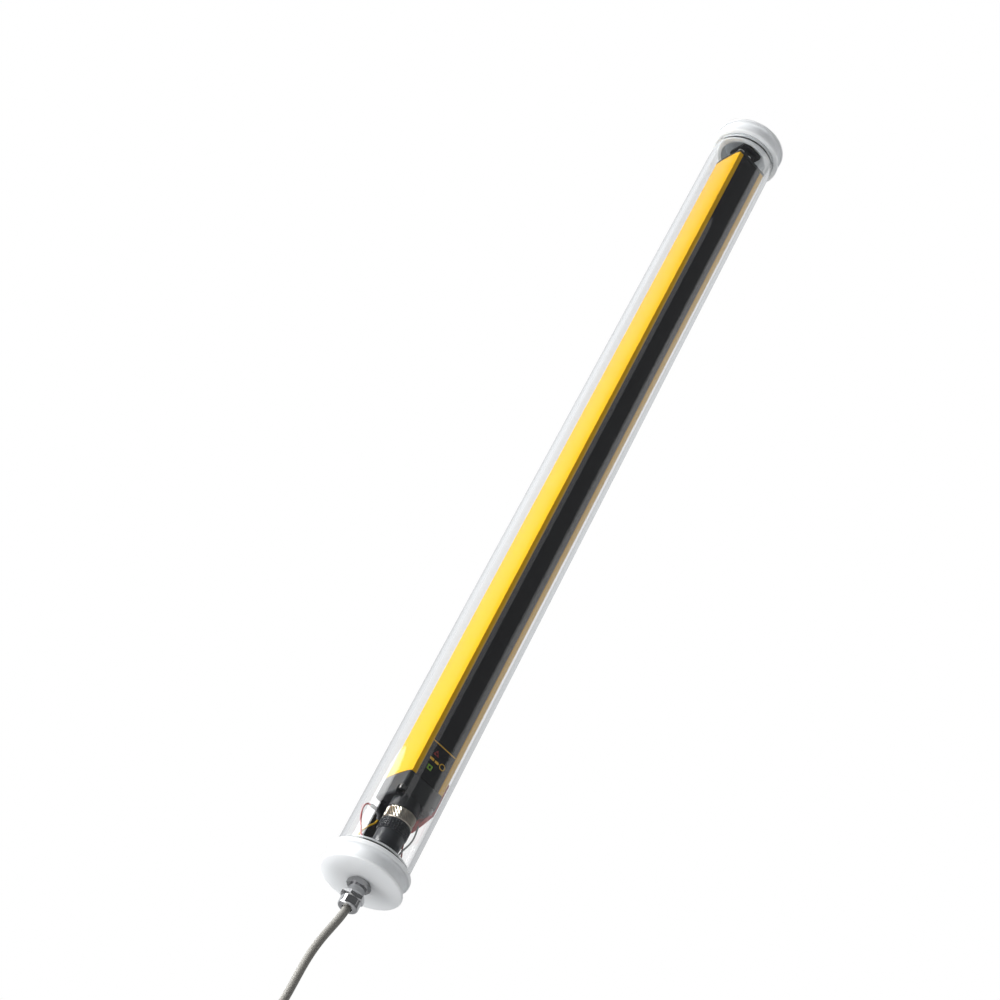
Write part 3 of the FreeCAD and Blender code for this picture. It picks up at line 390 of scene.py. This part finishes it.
# The foil rises in flat facets between creases, and is pressed down within a few cells of its rim. A crease
# has its direction across and along the foil, its spacing in metres and its start.
steepness, rim_rise, rim_cells = 0.055, 0.15, 3
creases = [(0.3, 1.0, 0.0052, 0.1), (1.0, 0.45, 0.0071, 0.6), (-0.8, 1.0, 0.0043, 0.35),
           (1.0, -0.15, 0.0094, 0.8), (0.55, -0.9, 0.0031, 0.25), (0.05, 1.0, 0.0118, 0.5),
           (0.9, 0.75, 0.0027, 0.9)]
outside, inside = [], []
for row in range(lines + 1):
    for column in range(columns + 1):
        y = foil_y + foil_half * (2 * column / columns - 1)
        z = foil_low + (foil_high - foil_low) * row / lines
        rise = 0.0
        for along_y, along_z, length, shift in creases:
            turn = (y * along_y + z * along_z) / math.hypot(along_y, along_z) / length + shift
            rise += abs(turn % 1.0 - 0.5) * steepness * length
        edge = min(column, columns - column, row, lines - row)
        outside.append((foil_x + foil_gauge + rise * min(1.0, rim_rise + edge / rim_cells), y, z))
        inside.append((foil_x + glue, y, z))
count = len(outside)
wide = columns + 1
faces = []
for row in range(lines):
    for column in range(columns):
        a = row * wide + column
        faces.append((a, a + 1, a + wide + 1, a + wide))
        faces.append((count + a, count + a + wide, count + a + wide + 1, count + a + 1))
rim = ([c for c in range(wide)] + [r * wide + columns for r in range(1, lines + 1)]
       + [lines * wide + c for c in range(columns - 1, -1, -1)] + [r * wide for r in range(lines - 1, 0, -1)])
for i, at in enumerate(rim):
    following = rim[(i + 1) % len(rim)]
    faces.append((at, count + at, count + following, following))
foil_mesh = bpy.data.meshes.new("crumpled_foil")
foil_mesh.from_pydata(outside + inside, [], faces)
foil = surface("foil", (0.82, 0.82, 0.82), (0.74, 0.74, 0.74), (0.12, 0.28),
               metallic=1.0, scale=500, depth=0.00004)
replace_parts(finish_mesh("crumpled_foil", foil_mesh, foil), "foil_tape")

# ------------------------------------------------------------------ wires
# Thin insulated wires run loose from the heater into the lower cap, through a temperature switch in a shrunk
# grey sleeve.
sleeve_grey = surface("sleeve_grey", (0.05, 0.05, 0.055), (0.07, 0.07, 0.075), (0.4, 0.5))
dress(sleeve_grey, "temperature_switch")
for name, tone in (("red_wire", (0.55, 0.004, 0.003)),
                   ("yellow_wire", (0.95, 0.55, 0.015)),
                   ("grey_wire", (0.3, 0.3, 0.3)),
                   ("dark_red_wire", (0.3, 0.012, 0.01))):
    darker = tuple(c * 0.85 for c in tone)
    dress(surface(name, tone, darker, (0.36, 0.48), depth=0.00001, shine=0.3), name)

# ------------------------------------------------------------------ end caps of the tube and their seals
# Both caps are turned from white plastic, with a groove for the clamp between two rims; the tool leaves a
# fine turned grain. A black rubber ring seals each plug in the tube's bore.
white_plastic = surface("white_plastic", (0.82, 0.84, 0.855), (0.785, 0.805, 0.82), (0.38, 0.5),
                        scale=900, depth=0.00001, stretch=(0.2, 0.2, 3.0))
milky = white_plastic.node_tree.nodes["Principled BSDF"]
milky.inputs["Subsurface Weight"].default_value = 0.7
milky.inputs["Subsurface Radius"].default_value = (1.0, 1.0, 1.0)
milky.inputs["Subsurface Scale"].default_value = 0.012
seal_rubber = surface("seal_rubber", (0.008, 0.008, 0.008), (0.012, 0.012, 0.012), (0.6, 0.75),
                      depth=0.00001, shine=0.2)
dress(white_plastic, "lower_cap", "upper_cap")
dress(seal_rubber, "lower_cap_seal", "upper_cap_seal", "gland_seal")

# ------------------------------------------------------------------ cable gland
# Bright nickel-plated brass, turned from hexagon bar: the body is screwed into the lower cap against a
# washer and a locknut, and the domed nut squeezes a rubber seal on to the cable.
bright_nickel = surface("bright_nickel", (0.72, 0.72, 0.73), (0.66, 0.66, 0.67), (0.05, 0.11),
                        metallic=1.0, scale=700, depth=0.000004, stretch=(0.3, 0.3, 2.0))
# The washer and the body are plated like the nuts. Their darker copy of the same nickel is painted shade.
shaded_nickel = surface("shaded_nickel", (0.5, 0.5, 0.51), (0.44, 0.44, 0.45), (0.1, 0.17),
                        metallic=1.0, scale=700, depth=0.00001, stretch=(0.3, 0.3, 2.0))
dress(bright_nickel, "gland_nut", "gland_locknut")
dress(shaded_nickel, "gland_washer", "gland_body")

# ------------------------------------------------------------------ outer cable
# Round grey cable, 5.4 mm across and 3 m long, from inside the lower cap down through the gland. What isn't
# in use is wound into a tied coil of sixteen turns, four wide and four deep, and its stripped end hangs free.
cable = 0.0054
slack, tuck = 0.0014, 0.0006
layers_deep = 4
# The middle turn lies 27.7 mm from the coil's middle. The outermost ones lie this much further out, and the
# innermost this much further in.
middle = 0.0554 / 2
reach = ((layers_deep - 1) * cable + slack) / 2 - tuck
coil_x, coil_y, coil_z = 0.007, 0.005, -0.162
route = [(0, 0, 4.2), (0.05, 0, -12), (0, 0, -28.5), (-1.9, 1.0, -39), (-4.2, 2.1, -50), (-5.8, 2.9, -61.5),
         (-6.45, 3.2, -74), (-6.75, 2.8, -87), (-7.5, 1.7, -99.5), (-10, 0, -112), (-14.3, -1.8, -123.6)]
points = [(x / 1000, y / 1000, z / 1000) for x, y, z in route]
start = math.radians(60)
entry = (coil_x - (middle + reach) * math.sin(start), coil_z + (middle + reach) * math.cos(start))
lead = 0.011
points.append((entry[0] + lead * math.cos(start), coil_y - reach, entry[1] + lead * math.sin(start)))

# Each turn keeps its own radius and layer, and crosses to the next in the last third or so of its round.
turns, steps = 16, 20
settled, crossing = 0.65, 0.35
last_part = 30 / 360
swell = 1 / math.cos(math.pi / steps)
radii, layers = [], []
for layer in range(layers_deep):
    order = (3, 2, 1, 0) if layer % 2 == 0 else (0, 1, 2, 3)
    for ring in order:
        radii.append(middle - reach + ring * reach * 2 / (layers_deep - 1))
        layers.append(coil_y - reach + layer * reach * 2 / (layers_deep - 1))
count = int(round((turns + last_part) * steps))
for i in range(count + 1):
    along = i / steps
    turn = min(int(along), turns - 1)
    share = max(0.0, min(1.0, (along - turn - settled) / crossing)) if turn < turns - 1 else 0.0
    share = share * share * (3 - 2 * share)
    following = min(turn + 1, turns - 1)
    radius = radii[turn] + (radii[following] - radii[turn]) * share
    depth = layers[turn] + (layers[following] - layers[turn]) * share
    stand_off = 1.0 if i in (0, count) else swell
    angle = start + 2 * math.pi * along
    points.append((coil_x - radius * stand_off * math.sin(angle), depth,
                   coil_z + radius * stand_off * math.cos(angle)))
tail_drops = (0.012, 0.025, 0.0375, 0.05)
for drop in tail_drops:
    points.append((coil_x - (middle + reach), coil_y + reach, coil_z - drop))

line = bpy.data.curves.new("outer_cable_line", "CURVE")
line.dimensions = "3D"
line.bevel_depth = cable / 2
line.bevel_resolution = 5
line.use_fill_caps = True
spline = line.splines.new("NURBS")
spline.points.add(len(points) - 1)
for place, at in zip(spline.points, points):
    place.co = (*at, 1)
spline.order_u = 3
spline.use_endpoint_u = True
spline.resolution_u = 3
cable_grey = surface("cable_grey", (0.33, 0.32, 0.29), (0.29, 0.28, 0.26), (0.4, 0.55),
                     scale=900, depth=0.000002)
line.materials.append(cable_grey)
flex = bpy.data.objects.new("outer_cable_run", line)
scene.collection.objects.link(flex)
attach(flex, "root")
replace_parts(flex, "outer_cable", "cable_coil", "cable_tail")
tie_black = surface("tie_black", (0.012, 0.012, 0.013), (0.018, 0.018, 0.019), (0.4, 0.5))
end_cores = surface("end_cores", (0.5, 0.5, 0.5), (0.4, 0.4, 0.4), (0.35, 0.45))
dress(tie_black, "cable_tie")
dress(end_cores, "end_cores")
dress(zinc_steel, "end_ferrules")

# ------------------------------------------------------------------ studio
# A pale floor lies far below, with white paper all round. Soft boxes stand to the left and right of the bar
# and weak ones in front, below and behind. The room in front stays dim, so that black surfaces look black.
floor_reach, floor_level = 12, -1.7
corners = [(-floor_reach, -floor_reach, floor_level), (floor_reach, -floor_reach, floor_level),
           (floor_reach, floor_reach, floor_level), (-floor_reach, floor_reach, floor_level)]
floor_mesh = bpy.data.meshes.new("floor")
floor_mesh.from_pydata(corners, [], [(0, 1, 2, 3)])
floor = bpy.data.objects.new("floor", floor_mesh)
floor_paint = bpy.data.materials.new("floor")
floor_paint.use_nodes = True
nodes, links = floor_paint.node_tree.nodes, floor_paint.node_tree.links
# Looked at directly, or through the clear tube, the floor is as pale as the paper. It sends the part only its
# own soft bounce.
nodes["Principled BSDF"].inputs["Base Color"].default_value = (0.8, 0.8, 0.8, 1)
pale = nodes.new("ShaderNodeEmission")
path = nodes.new("ShaderNodeLightPath")
bounces = nodes.new("ShaderNodeMath")
bounces.operation = "ADD"
seen = nodes.new("ShaderNodeMapRange")
seen.inputs["To Min"].default_value = 0.72
seen.inputs["To Max"].default_value = 0.0
both = nodes.new("ShaderNodeAddShader")
links.new(path.outputs["Glossy Depth"], bounces.inputs[0])
links.new(path.outputs["Diffuse Depth"], bounces.inputs[1])
links.new(bounces.outputs[0], seen.inputs["Value"])
links.new(seen.outputs["Result"], pale.inputs["Strength"])
links.new(nodes["Principled BSDF"].outputs[0], both.inputs[0])
links.new(pale.outputs[0], both.inputs[1])
links.new(both.outputs[0], nodes["Material Output"].inputs["Surface"])
floor_mesh.materials.append(floor_paint)
scene.collection.objects.link(floor)

# The paper shows behind the part at full white, also through the clear tube. What the part reflects is a room
# that is bright behind it and dim in front, brighter to the left and overhead than to the right. The room and
# the lights are laid out square to the camera, which stands this far round to the left of the bar's front.
facing = math.radians(26.704)
world = bpy.data.worlds.new("studio")
scene.world = world
world.use_nodes = True
nodes, links = world.node_tree.nodes, world.node_tree.links
nodes.clear()
paper = nodes.new("ShaderNodeBackground")
paper.inputs["Color"].default_value = (1, 1, 1, 1)
paper.inputs["Strength"].default_value = 1.0
room = nodes.new("ShaderNodeBackground")
room.inputs["Color"].default_value = (0.96, 0.98, 1.0, 1)
heading = nodes.new("ShaderNodeTexCoord")
rearward = (math.sin(facing), math.cos(facing), 0)
rightward = (math.cos(facing), -math.sin(facing), 0)
upward = (0, 0, 1)
spans = []
for axis, low, high, low_value, high_value in ((rearward, 0.12, 0.42, 0.0, 1.0),
                                               (rightward, -0.9, 0.9, 1.0, 0.6),
                                               (upward, 0.42, 0.62, 0.8, 1.0)):
    dot = nodes.new("ShaderNodeVectorMath")
    dot.operation = "DOT_PRODUCT"
    dot.inputs[1].default_value = axis
    span = nodes.new("ShaderNodeMapRange")
    span.interpolation_type = "SMOOTHSTEP"
    for socket, value in (("From Min", low), ("From Max", high),
                          ("To Min", low_value), ("To Max", high_value)):
        span.inputs[socket].default_value = value
    links.new(heading.outputs["Generated"], dot.inputs[0])
    links.new(dot.outputs["Value"], span.inputs["Value"])
    spans.append(span)
behind = nodes.new("ShaderNodeMath")
behind.operation = "MULTIPLY"
links.new(spans[1].outputs[0], behind.inputs[0])
links.new(spans[2].outputs[0], behind.inputs[1])
level = nodes.new("ShaderNodeMix")
level.inputs[mix_number_a].default_value = 0.1
links.new(spans[0].outputs[0], level.inputs[mix_share])
links.new(behind.outputs[0], level.inputs[mix_number_b])
links.new(level.outputs[mix_number], room.inputs["Strength"])
path = nodes.new("ShaderNodeLightPath")
bounced = nodes.new("ShaderNodeMath")
bounced.operation = "ADD"
bounced.use_clamp = True
links.new(path.outputs["Glossy Depth"], bounced.inputs[0])
links.new(path.outputs["Diffuse Depth"], bounced.inputs[1])
mix = nodes.new("ShaderNodeMixShader")
out = nodes.new("ShaderNodeOutputWorld")
links.new(bounced.outputs[0], mix.inputs[0])
links.new(paper.outputs[0], mix.inputs[1])
links.new(room.outputs[0], mix.inputs[2])
links.new(mix.outputs[0], out.inputs["Surface"])

# Each box: its turn round the bar from the camera's side, its distance, its level, the level that it is aimed
# at, its width and height, and its brightness.
for name, turn, away, level_z, aimed_at, size, glow in (
        ("key_box", -85, 1.5, 0.05, 0.05, (0.9, 1.2), 9.0),
        ("left_box", -78, 1.5, 0.5, 0.5, (0.86, 0.94), 4.0),
        ("right_box", 87, 1.5, 1.62, 1.62, (1.2, 1.65), 0.78),
        ("front_strip", 1, 1.5, 1.5, 1.5, (0.5, 1.2), 0.5),
        ("fill_box", -12, 1.5, -1.05, 0.35, (1.1, 1.1), 0.36),
        ("back_box", 155, 1.5, 0.3, 0.3, (0.9, 1.4), 0.8),
        ("low_box", -72, 0.22, -0.22, 0.0, (0.18, 0.18), 2.0)):
    lamp = bpy.data.lights.new(name, "AREA")
    lamp.shape = "RECTANGLE"
    lamp.size, lamp.size_y = size
    lamp.energy = math.pi * glow * size[0] * size[1]
    stand = bpy.data.objects.new(name, lamp)
    aside = math.radians(turn)
    across, back = away * math.sin(aside), -away * math.cos(aside)
    stand.location = (across * math.cos(facing) + back * math.sin(facing),
                      back * math.cos(facing) - across * math.sin(facing), level_z)
    towards = Vector((0, 0, aimed_at)) - stand.location
    stand.rotation_euler = towards.to_track_quat("-Z", "Y").to_euler()
    stand.visible_camera = False
    # The box behind only lights the caps' edges: it isn't mirrored in the tube or seen through it.
    stand.visible_glossy = name != "back_box"
    stand.visible_transmission = name != "back_box"
    scene.collection.objects.link(stand)

# ------------------------------------------------------------------ camera
# It stands to the left of the bar, in front of it and below it, looks up along it, and is tilted so that the
# bar crosses the view aslant.
camera = bpy.data.cameras.new("camera")
camera.lens = 88.022
camera.sensor_width = 36
camera.clip_start = 0.05
eye = bpy.data.objects.new("camera", camera)
eye.location = (-0.606478, -1.205640, -0.713859)
eye.rotation_euler = [math.radians(a) for a in (130.726525, -22.659868, -43.425771)]
scene.collection.objects.link(eye)
scene.camera = eye
# Light that the tube and the nickel gather into spots is left out, since it only leaves specks.
scene.cycles.caustics_reflective = False
scene.cycles.caustics_refractive = False
